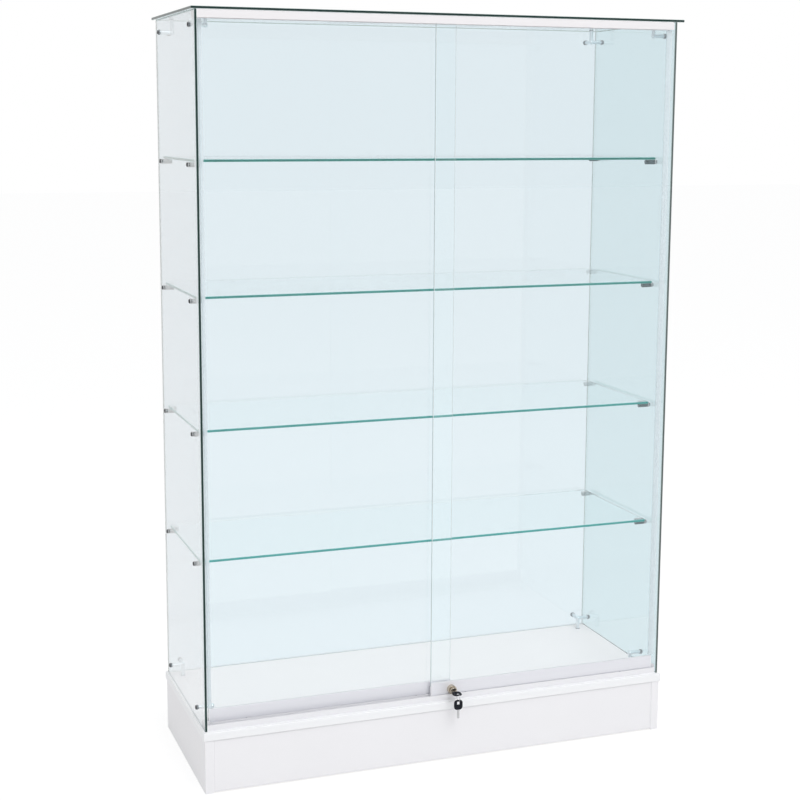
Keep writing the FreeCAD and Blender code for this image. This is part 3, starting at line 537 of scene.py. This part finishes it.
def satin_aluminium(name, pale, dark, metal):
    """Satin anodised aluminium, with die lines drawn out along the length of the bar."""
    finish = new_finish(name)
    lines = finish.grain(DIE_LINES, stretch=(0.004, 1, 1), detail=2.0)
    colour = finish.mix(lines, dark, pale)
    rough = SATIN_ROUGH + DIE_ROUGH * lines
    relief = finish.bump(lines, DIE_DEPTH)
    return finish.coat(Base_Color=colour, Metallic=metal, Roughness=rough, Normal=relief)


dress(powder_coat(), "upper_track")
dress(satin_aluminium("track_aluminium", ANODISED, ANODISED_DARK, TRACK_METAL), "lower_track")
dress(rubber("bumper_rubber", BUMPER_PALE, BUMPER_BLOOM), "track_bumpers")


# Sliding doors
# Each door is a sheet of float glass gripped by a gasket in an aluminium rail with end caps.
# A plastic dust seal grips the outer edge, nylon shoes guide the top and grooved wheels carry it.
DOOR_TINT = (0.985, 0.998, 1.0, 1)
DOOR_EDGE = (0.28, 0.40, 0.42, 1)
DOOR_GLOW = (0.40, 0.53, 0.55, 1)
DOOR_ARRIS = (0.84, 0.91, 0.93, 1)
RAIL_SILVER = (0.805, 0.810, 0.850, 1)
RAIL_DARK = (0.755, 0.760, 0.805, 1)
CAP_WHITE = (0.88, 0.88, 0.90, 1)
CAP_SHADE = (0.80, 0.80, 0.83, 1)
SEAL_PALE = (0.75, 0.825, 0.86, 1)
SEAL_MILKY = (0.79, 0.865, 0.90, 1)
GASKET_GREY = (0.85, 0.86, 0.88, 1)
GASKET_BLOOM = (0.90, 0.91, 0.92, 1)
NYLON_WHITE = (0.84, 0.83, 0.79, 1)
NYLON_SHADE = (0.76, 0.75, 0.70, 1)
DOOR_POLISH = 0.3
RAIL_METAL = 0.3
SEAL_COVER = 0.35
CAP_ROUGH = 0.4
NYLON_ROUGH = 0.35
PLASTIC_GLOSS = 0.5
TOOTH_CELLS = 1200
TOOTH_DEPTH = 0.00003
TOOTH_ROUGH = 0.15
SWIRL_CELLS = 60


def moulded(name, pale, dark, rough, gloss):
    """Moulded plastic with a fine spark-eroded texture."""
    finish = new_finish(name)
    tooth = finish.grain(TOOTH_CELLS, detail=2.0)
    colour = finish.mix(finish.grain(SWIRL_CELLS), dark, pale)
    rough = rough + TOOTH_ROUGH * tooth
    relief = finish.bump(tooth, TOOTH_DEPTH)
    return finish.coat(Base_Color=colour, Roughness=rough, Specular_IOR_Level=gloss, Normal=relief)


rail_finish = satin_aluminium("rail_aluminium", RAIL_SILVER, RAIL_DARK, RAIL_METAL)
cap_finish = moulded("cap_plastic", CAP_WHITE, CAP_SHADE, CAP_ROUGH, PLASTIC_GLOSS)
seal_finish = milky_plastic("seal_plastic", SEAL_PALE, SEAL_MILKY, SEAL_COVER)
gasket_finish = rubber("gasket_rubber", GASKET_GREY, GASKET_BLOOM)
nylon_finish = moulded("nylon", NYLON_WHITE, NYLON_SHADE, NYLON_ROUGH, PLASTIC_GLOSS)
for side in ("left", "right"):
    pane = side + "_door_glass"
    glaze(pane, DOOR_TINT, DOOR_EDGE, DOOR_GLOW, DOOR_POLISH, ground=DOOR_ARRIS)
    dress(rail_finish, side + "_door_rail")
    dress(cap_finish, side + "_rail_caps")
    dress(seal_finish, side + "_door_seal")
    dress(gasket_finish, side + "_door_gasket")
    dress(nylon_finish, side + "_top_guides", side + "_inner_wheel", side + "_outer_wheel")


# Push lock
# A round lock sits in the front door's rail. Its nose, plunger and key core are plated brass,
# turned on a lathe; the core is painted darker, as painted shade for its dark reflection.
# A steel clip holds it behind the rail, and a steel strike is on the rear door.
LOCK_PLATE = (0.66, 0.60, 0.51, 1)
LOCK_DARK = (0.30, 0.25, 0.19, 1)
CORE_BRASS_PAINTED_SHADE = (0.24, 0.20, 0.15, 1)
CORE_DARK_PAINTED_SHADE = (0.09, 0.075, 0.055, 1)
TURNED_RINGS = 9000.0
TURNED_DEPTH = 0.00001
TURNED_SHARE = 0.35
TARNISH_CELLS = 260
TARNISH_SHARE = 0.65
TARNISH_ROUGH = 0.16
LOCK_ROUGH = 0.12


def turned_metal(name, pale, dark):
    """Plated metal with fine rings round the lock's axis."""
    finish = new_finish(name)
    low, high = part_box("lock_housing")
    centre = (low + high) / 2
    x, _, z = finish.split(finish.place())
    radius = ((x - centre.x) ** 2 + (z - centre.z) ** 2).root()
    rings = (radius * TURNED_RINGS).sine() * 0.5 + 0.5
    tarnish = finish.grain(TARNISH_CELLS, detail=3.0)
    colour = finish.mix(TURNED_SHARE * rings + TARNISH_SHARE * tarnish, pale, dark)
    rough = LOCK_ROUGH + TARNISH_ROUGH * tarnish
    relief = finish.bump(rings, TURNED_DEPTH)
    return finish.coat(Base_Color=colour, Metallic=1.0, Roughness=rough, Normal=relief)


dress(turned_metal("lock_plate", LOCK_PLATE, LOCK_DARK), "lock_housing", "lock_plunger")
# The core's darker brass is painted shade.
dress(turned_metal("lock_brass", CORE_BRASS_PAINTED_SHADE, CORE_DARK_PAINTED_SHADE), "lock_core")
dress(plated, "lock_clip", "lock_strike")


# Keys
# Two flat keys have black plastic bows moulded round nickel-plated blades, one in the lock and one
# hanging. The bows have rounded edges and ribs to grip, and the blades are grooved and cut.
KEYS = {"key": Matrix.Identity(3), "spare_key": Matrix.Rotation(-math.pi / 2, 3, "X")}
BOW_BLACK = (0.006, 0.007, 0.011, 1)
BOW_WORN = (0.016, 0.018, 0.026, 1)
BOW_ROUGH = 0.4
BOW_GLOSS = 0.12
BOW_CORNER = 0.008
BOW_ROUND = 0.0006
ROUND_STEPS = 4
CORNER_STEPS = 12
MERGE_DISTANCE = 1e-7
HOLE_HALF = 0.0035
HOLE_START = 0.0035
HOLE_END = 0.0121
HOLE_CORNER = 0.0004
RIB_COUNT = 4
RIB_FIRST = 0.0152
RIB_PITCH = 0.0021
RIB_LENGTH = 0.011
RIB_RADIUS = 0.0004
RIB_SIDES = 12
BLADE_NICKEL = (0.66, 0.66, 0.67, 1)
BLADE_DARK = (0.44, 0.44, 0.46, 1)
MILL_MARKS = 2600
MILL_DEPTH = 0.00001
MILL_ROUGH = 0.2
BLADE_ROUGH = 0.2
BLADE_HALF = 0.003
BLADE_FACE = 0.001
GROOVE_FLOOR = 0.0005
GROOVES = ((-0.0010, 0.0003), (0.0001, 0.0014))
TIP_LENGTH = 0.0018
TIP_SHARE = 0.5
CUT_FIRST = 0.0135
CUT_PITCH = 0.0027
CUT_SHALLOW = 0.0006
CUT_DEEP = 0.0016
CUTTER = 0.0026
CUT_SEED = 7


class Recipe:
    """A Geometry Nodes tree: sizes go in by name, and a plain mesh in one finish comes out."""

    def __init__(self, name):
        self.tree = bpy.data.node_groups.new(name, "GeometryNodeTree")
        for way in ("INPUT", "OUTPUT"):
            self.new_socket("Geometry", way, "NodeSocketGeometry")
        self.inlet = self.tree.nodes.new("NodeGroupInput")
        self.sizes = {}

    def new_socket(self, name, way, kind):
        return self.tree.interface.new_socket(name=name, in_out=way, socket_type=kind)

    def size(self, name, given):
        """A named input of the tree, whole or with decimals as the number given is."""
        kind = "NodeSocketInt" if isinstance(given, int) else "NodeSocketFloat"
        socket = self.new_socket(name, "INPUT", kind)
        self.sizes[socket.identifier] = given
        return self.inlet.outputs[name]

    def node(self, kind, settings, sockets, output=0):
        added = self.tree.nodes.new(kind)
        for name, setting in settings.items():
            setattr(added, name, setting)
        for name, given in sockets.items():
            if isinstance(given, bpy.types.NodeSocket):
                self.tree.links.new(given, added.inputs[name])
            else:
                added.inputs[name].default_value = given
        return added.outputs[output]

    def point(self, x, y, z):
        return self.node("ShaderNodeCombineXYZ", {}, {"X": x, "Y": y, "Z": z})

    def both(self, *shapes):
        joined = self.tree.nodes.new("GeometryNodeJoinGeometry")
        for shape in shapes:
            self.tree.links.new(shape, joined.inputs["Geometry"])
        return joined.outputs["Geometry"]

    def make(self, shape, finish, piece):
        """Ends the tree in one finish and puts what it makes of the piece in the piece's place."""
        plain = self.node("GeometryNodeRealizeInstances", {}, {"Geometry": shape})
        skin = {"Geometry": plain, "Material": finish.owner}
        covered = self.node("GeometryNodeSetMaterial", {}, skin)
        outlet = self.tree.nodes.new("NodeGroupOutput")
        self.tree.links.new(covered, outlet.inputs["Geometry"])
        steps = piece.modifiers.new("recipe", "NODES")
        steps.node_group = self.tree
        for identifier, given in self.sizes.items():
            steps[identifier] = given
        settle(piece)


def new_piece(name, mesh):
    piece = bpy.data.objects.new(name, mesh)
    bpy.context.scene.collection.objects.link(piece)
    return piece


def settle(piece):
    """Turns a piece and its modifiers into a plain mesh."""
    graph = bpy.context.evaluated_depsgraph_get()
    made = bpy.data.meshes.new_from_object(piece.evaluated_get(graph))
    piece.modifiers.clear()
    piece.data = made


def from_bow_end(name, turn):
    """A key part's own axes, from its bow end with the blade along Y, and its length."""
    low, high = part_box(name)
    length = max(high - low)
    start = (low + high) / 2 - turn @ Vector((0, length / 2, 0))
    return Matrix.Translation(start) @ turn.to_4x4(), length


def milled_nickel():
    """Nickel plate over milled brass, with fine marks along the blade."""
    finish = new_finish("blade_nickel")
    marks = finish.grain(MILL_MARKS, stretch=(1, 0.06, 0.06), detail=2.0)
    colour = finish.mix(marks, BLADE_DARK, BLADE_NICKEL)
    rough = BLADE_ROUGH + MILL_ROUGH * marks
    relief = finish.bump(marks, MILL_DEPTH)
    return finish.coat(Base_Color=colour, Metallic=1.0, Roughness=rough, Normal=relief)


def outline(start, end, half, near, far):
    """Points round a flat outline from start to end along Y, rounded at near and far corners."""
    corners = (
        (half - near, start + near, near, -90),
        (half - far, end - far, far, 0),
        (far - half, end - far, far, 90),
        (near - half, start + near, near, 180),
    )
    points = []
    for x, y, radius, first in corners:
        for step in range(CORNER_STEPS + 1):
            angle = math.radians(first + 90 * step / CORNER_STEPS)
            points.append((x + radius * math.cos(angle), y + radius * math.sin(angle)))
    return points


def moulded_bow(length, half, face):
    """A bow with a slot for the ring, and a rounded edge round its rim and round the slot."""
    lower = []
    for step in range(ROUND_STEPS + 1):
        turn = math.pi / 2 * step / ROUND_STEPS
        inset = BOW_ROUND * (1 - math.sin(turn))
        lower.append((inset, BOW_ROUND * (1 - math.cos(turn)) - face))
    levels = lower + [(inset, -height) for inset, height in reversed(lower)]
    shape = bmesh.new()
    rims = []
    slots = []
    for inset, height in levels:
        corner = BOW_CORNER - inset
        rim = outline(inset, length - inset, half - inset, corner, corner)
        wide = HOLE_HALF + inset
        slot = outline(HOLE_START - inset, HOLE_END + inset, wide, wide, HOLE_CORNER + inset)
        rims.append([shape.verts.new((x, y, height)) for x, y in rim])
        slots.append([shape.verts.new((x, y, height)) for x, y in slot])
    for stack in (rims, slots):
        for first, second in zip(stack, stack[1:]):
            for index in range(len(first)):
                shape.faces.new((first[index - 1], first[index], second[index], second[index - 1]))
    bmesh.ops.remove_doubles(shape, verts=shape.verts, dist=MERGE_DISTANCE)
    border = [edge for edge in shape.edges if edge.is_boundary]
    for side in (-1, 1):
        rim = [edge for edge in border if edge.verts[0].co.z * side > 0]
        bmesh.ops.triangle_fill(shape, edges=rim, use_beauty=True, normal=(0, 0, side))
    bmesh.ops.recalc_face_normals(shape, faces=shape.faces)
    mesh = bpy.data.meshes.new("bow")
    shape.to_mesh(mesh)
    shape.free()
    return mesh


def grooved_blank(length):
    """A blade before its teeth are cut: a bar with a groove in each face and a narrowed tip."""
    upper, lower = GROOVES
    section = [
        (-BLADE_HALF, -BLADE_FACE),
        (lower[0], -BLADE_FACE),
        (lower[0], -GROOVE_FLOOR),
        (lower[1], -GROOVE_FLOOR),
        (lower[1], -BLADE_FACE),
        (BLADE_HALF, -BLADE_FACE),
        (BLADE_HALF, BLADE_FACE),
        (upper[1], BLADE_FACE),
        (upper[1], GROOVE_FLOOR),
        (upper[0], GROOVE_FLOOR),
        (upper[0], BLADE_FACE),
        (-BLADE_HALF, BLADE_FACE),
    ]
    shape = bmesh.new()
    stations = ((0.0, 1.0), (length - TIP_LENGTH, 1.0), (length, TIP_SHARE))
    loops = [[shape.verts.new((x * share, y, z)) for x, z in section] for y, share in stations]
    for first, second in zip(loops, loops[1:]):
        for index in range(len(section)):
            shape.faces.new((first[index - 1], first[index], second[index], second[index - 1]))
    shape.faces.new(loops[0])
    shape.faces.new(loops[-1])
    bmesh.ops.recalc_face_normals(shape, faces=shape.faces)
    mesh = bpy.data.meshes.new("blade")
    shape.to_mesh(mesh)
    shape.free()
    return mesh


def cut_teeth(piece, length, finish):
    """Cuts a row of notches in the blade's edge, each to its own depth."""
    recipe = Recipe("key_teeth")
    pitch = recipe.size("Pitch", CUT_PITCH)
    count = recipe.size("Cuts", int((length - TIP_LENGTH - CUT_FIRST) / CUT_PITCH) + 1)
    first = recipe.size("First cut", CUT_FIRST)
    edge = recipe.point(BLADE_HALF + CUTTER / math.sqrt(2), first, 0.0)
    step = recipe.point(0.0, pitch, 0.0)
    line = {"Count": count, "Start Location": edge, "Offset": step}
    row = recipe.node("GeometryNodeMeshLine", {}, line)
    shallow = recipe.size("Shallowest", CUT_SHALLOW)
    deep = recipe.size("Deepest", CUT_DEEP)
    seed = recipe.size("Seed", CUT_SEED)
    depth = recipe.node("FunctionNodeRandomValue", {}, {2: shallow, 3: deep, "Seed": seed}, 1)
    inward = recipe.node("ShaderNodeMath", {"operation": "MULTIPLY"}, {0: depth, 1: -1.0})
    moved = {"Geometry": row, "Offset": recipe.point(inward, 0.0, 0.0)}
    row = recipe.node("GeometryNodeSetPosition", {}, moved)
    cutter = recipe.node("GeometryNodeMeshCube", {}, {"Size": (CUTTER, CUTTER, 4 * BLADE_FACE)})
    on_edge = {"Points": row, "Instance": cutter, "Rotation": (0, 0, math.pi / 4)}
    cutters = recipe.node("GeometryNodeInstanceOnPoints", {}, on_edge)
    cutters = recipe.node("GeometryNodeRealizeInstances", {}, {"Geometry": cutters})
    blank = recipe.inlet.outputs["Geometry"]
    settings = {"operation": "DIFFERENCE", "solver": "EXACT"}
    notched = recipe.node("GeometryNodeMeshBoolean", settings, {"Mesh 1": blank, "Mesh 2": cutters})
    recipe.make(notched, finish, piece)


def rib_bow(piece, face, finish):
    """Adds a row of ribs across each broad face of a bow that lies flat from its end along Y."""
    recipe = Recipe("grip_ribs")
    reach = RIB_LENGTH / 2
    ends = {"Start": (-reach, 0, 0), "End": (reach, 0, 0)}
    bar = recipe.node("GeometryNodeCurvePrimitiveLine", {}, ends)
    round_end = {"Resolution": RIB_SIDES, "Radius": recipe.size("Rib radius", RIB_RADIUS)}
    circle = recipe.node("GeometryNodeCurvePrimitiveCircle", {"mode": "RADIUS"}, round_end)
    swept = {"Curve": bar, "Profile Curve": circle, "Fill Caps": True}
    rib = recipe.node("GeometryNodeCurveToMesh", {}, swept)
    count = recipe.size("Ribs", RIB_COUNT)
    first = recipe.size("First rib", RIB_FIRST)
    step = recipe.point(0.0, recipe.size("Rib pitch", RIB_PITCH), 0.0)
    rows = []
    for height in (face, -face):
        line = {"Count": count, "Start Location": recipe.point(0.0, first, height), "Offset": step}
        row = recipe.node("GeometryNodeMeshLine", {}, line)
        ribs = {"Points": row, "Instance": rib}
        rows.append(recipe.node("GeometryNodeInstanceOnPoints", {}, ribs))
    recipe.make(recipe.both(recipe.inlet.outputs["Geometry"], *rows), finish, piece)


bow_finish = moulded("bow_plastic", BOW_WORN, BOW_BLACK, BOW_ROUGH, BOW_GLOSS)
blade_finish = milled_nickel()
for body, turn in KEYS.items():
    place, length = from_bow_end(body + "_blade", turn)
    blade = new_piece(body + "_cut_blade", grooved_blank(length))
    cut_teeth(blade, length, blade_finish)
    blade.data.transform(place)
    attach(blade, body)
    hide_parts(body + "_blade")

    place, length = from_bow_end(body + "_bow", turn)
    low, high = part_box(body + "_bow")
    face = min(high - low) / 2
    bow = new_piece(body + "_grip", moulded_bow(length, (high.x - low.x) / 2, face))
    rib_bow(bow, face, bow_finish)
    bow.data.transform(place)
    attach(bow, body)
    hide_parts(body + "_bow")


# Key ring
# A split ring of spring-steel wire wound in two turns joins the two keys.
# It is nickel-plated and bright, and its ends are cut square.
RING_TURNS = 2.0
RING_STEPS = 72
RING_STEEL = (0.70, 0.70, 0.71, 1)
RING_DULL = (0.52, 0.52, 0.54, 1)
WIRE_SIDES = 16
DRAWN_MARKS = 1500
DRAWN_ROUGH = 0.16
RING_ROUGH = 0.16


def spring_steel():
    finish = new_finish("ring_steel")
    drawn = finish.grain(DRAWN_MARKS, detail=2.0)
    colour = finish.mix(drawn, RING_STEEL, RING_DULL)
    rough = RING_ROUGH + DRAWN_ROUGH * drawn
    return finish.coat(Base_Color=colour, Metallic=1.0, Roughness=rough)


low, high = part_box("key_ring")
wire = (high.x - low.x) / 2
mean_radius = (high.z - low.z) / 2 - wire
recipe = Recipe("split_ring")
radius = recipe.size("Mean radius", mean_radius)
winding = {
    "Resolution": recipe.size("Steps a turn", RING_STEPS),
    "Rotations": recipe.size("Turns", RING_TURNS),
    "Start Radius": radius,
    "End Radius": radius,
    "Height": recipe.size("Rise", wire),
}
coil = recipe.node("GeometryNodeCurveSpiral", {}, winding)
section = {"Resolution": WIRE_SIDES, "Radius": recipe.size("Wire radius", wire / 2)}
profile = recipe.node("GeometryNodeCurvePrimitiveCircle", {"mode": "RADIUS"}, section)
swept = {"Curve": coil, "Profile Curve": profile, "Fill Caps": True}
ring = new_piece("split_ring", bpy.data.meshes.new("split_ring"))
recipe.make(recipe.node("GeometryNodeCurveToMesh", {}, swept), spring_steel(), ring)
ring.data.transform(Matrix.Translation((0, 0, -wire / 2)))
ring.data.transform(Matrix.Rotation(math.pi / 2, 4, "Y"))
ring.data.transform(Matrix.Translation((low + high) / 2))
ring.data.shade_smooth()
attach(ring, "key_ring")
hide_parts("key_ring")


# Floor and light
# A wide pale floor keeps the shadow, and soft lamps stand above and in front. The surround looks
# white and lights the left side less. Glass and metal mirror its unlit part on the viewer's side.
FLOOR_SIZE = 60.0
FLOOR_GLOW = 0.77
FLOOR_PALE = (0.28, 0.28, 0.28, 1)
FLOOR_BOUNCE = (0.80, 0.80, 0.80, 1)
SKY = (0.985, 0.99, 1.0, 1)
SKY_LEFT = (0.87, 0.87, 0.87, 1)
SKY_LIGHT = 0.80
UNLIT = (0.80, 0.82, 0.84, 1)
UNLIT_FROM = 0.25
UNLIT_FULL = 0.70
WHITE = (1, 1, 1, 1)
SHOWN = ("Camera", "Glossy", "Transmission")

half = FLOOR_SIZE / 2
floor_mesh = bpy.data.meshes.new("floor")
floor_corners = [(-half, -half, 0), (half, -half, 0), (half, half, 0), (-half, half, 0)]
floor_mesh.from_pydata(floor_corners, [], [(0, 1, 2, 3)])
floor = new_piece("floor", floor_mesh)
pale = new_finish("pale_floor")
bounce = pale.node("BsdfDiffuse", {}, {"Color": FLOOR_BOUNCE})
shade = pale.node("BsdfDiffuse", {}, {"Color": FLOOR_PALE})
glow = pale.node("Emission", {}, {"Color": WHITE, "Strength": FLOOR_GLOW})
shown = pale.node("AddShader", {}, {0: shade, 1: glow})
pale.show(pale.either(pale.rays(*SHOWN), bounce, shown))
floor_mesh.materials.append(pale.owner)

room = Finish(bpy.data.worlds.new("white_room"))
bpy.context.scene.world = room.owner
across, along = room.split(room.node("TexCoord", {}, {}, "Generated"))[:2]
light = room.mix(across * -1, SKY, SKY_LEFT)
sky = room.node("Background", {}, {"Color": light, "Strength": SKY_LIGHT})
backdrop = room.node("Background", {}, {"Color": WHITE, "Strength": 1.0})
unlit = room.node("Background", {}, {"Color": UNLIT, "Strength": 1.0})
fade = {
    "Value": along * -1,
    "From Min": UNLIT_FROM,
    "From Max": UNLIT_FULL,
    "To Min": 0.0,
    "To Max": 1.0,
}
in_front = room.node("MapRange", {"clamp": True}, fade)
mirrored = room.either(in_front, backdrop, unlit)
seen = room.either(room.rays("Glossy"), backdrop, mirrored)
room.show(room.either(room.rays(*SHOWN), sky, seen))

LAMPS = {
    "key_lamp": ((0.6, -4.3, 5.0), 3.4, 124.0),
    "fill_lamp": ((-3.2, -3.0, 3.2), 2.6, 6.0),
}
AIM = Vector((0, 0, 0.9))
for name, (place, width, power) in LAMPS.items():
    lamp = bpy.data.lights.new(name, "AREA")
    lamp.size = width
    lamp.energy = power
    stand = bpy.data.objects.new(name, lamp)
    stand.location = place
    stand.rotation_euler = (AIM - Vector(place)).to_track_quat("-Z", "Y").to_euler()
    bpy.context.scene.collection.objects.link(stand)


# Camera
# It stands to the left of the case at eye height and looks a little down.
CAMERA_PLACE = (-1.3423, -3.5520, 1.5569)
CAMERA_YAW = math.radians(19.876)
CAMERA_PITCH = math.radians(8.778)
CAMERA_ROLL = math.radians(0.228)
CAMERA_SENSOR = 36.0
CAMERA_LENS = 69.15
CAMERA_SHIFT = (0.0089, -0.0526)

camera = bpy.data.cameras.new("camera")
camera.sensor_width = CAMERA_SENSOR
camera.lens = CAMERA_LENS
camera.shift_x, camera.shift_y = CAMERA_SHIFT
tripod = bpy.data.objects.new("camera", camera)
forward = Vector((
    math.sin(CAMERA_YAW) * math.cos(CAMERA_PITCH),
    math.cos(CAMERA_YAW) * math.cos(CAMERA_PITCH),
    -math.sin(CAMERA_PITCH),
))
level = Vector((math.cos(CAMERA_YAW), -math.sin(CAMERA_YAW), 0))
upright = level.cross(forward)
right = math.cos(CAMERA_ROLL) * level + math.sin(CAMERA_ROLL) * upright
above = -math.sin(CAMERA_ROLL) * level + math.cos(CAMERA_ROLL) * upright
aim = Matrix((right, above, -forward)).transposed().to_4x4()
aim.translation = CAMERA_PLACE
tripod.matrix_world = aim
bpy.context.scene.collection.objects.link(tripod)
bpy.context.scene.camera = tripod
bpy.context.scene.view_settings.view_transform = "Standard"
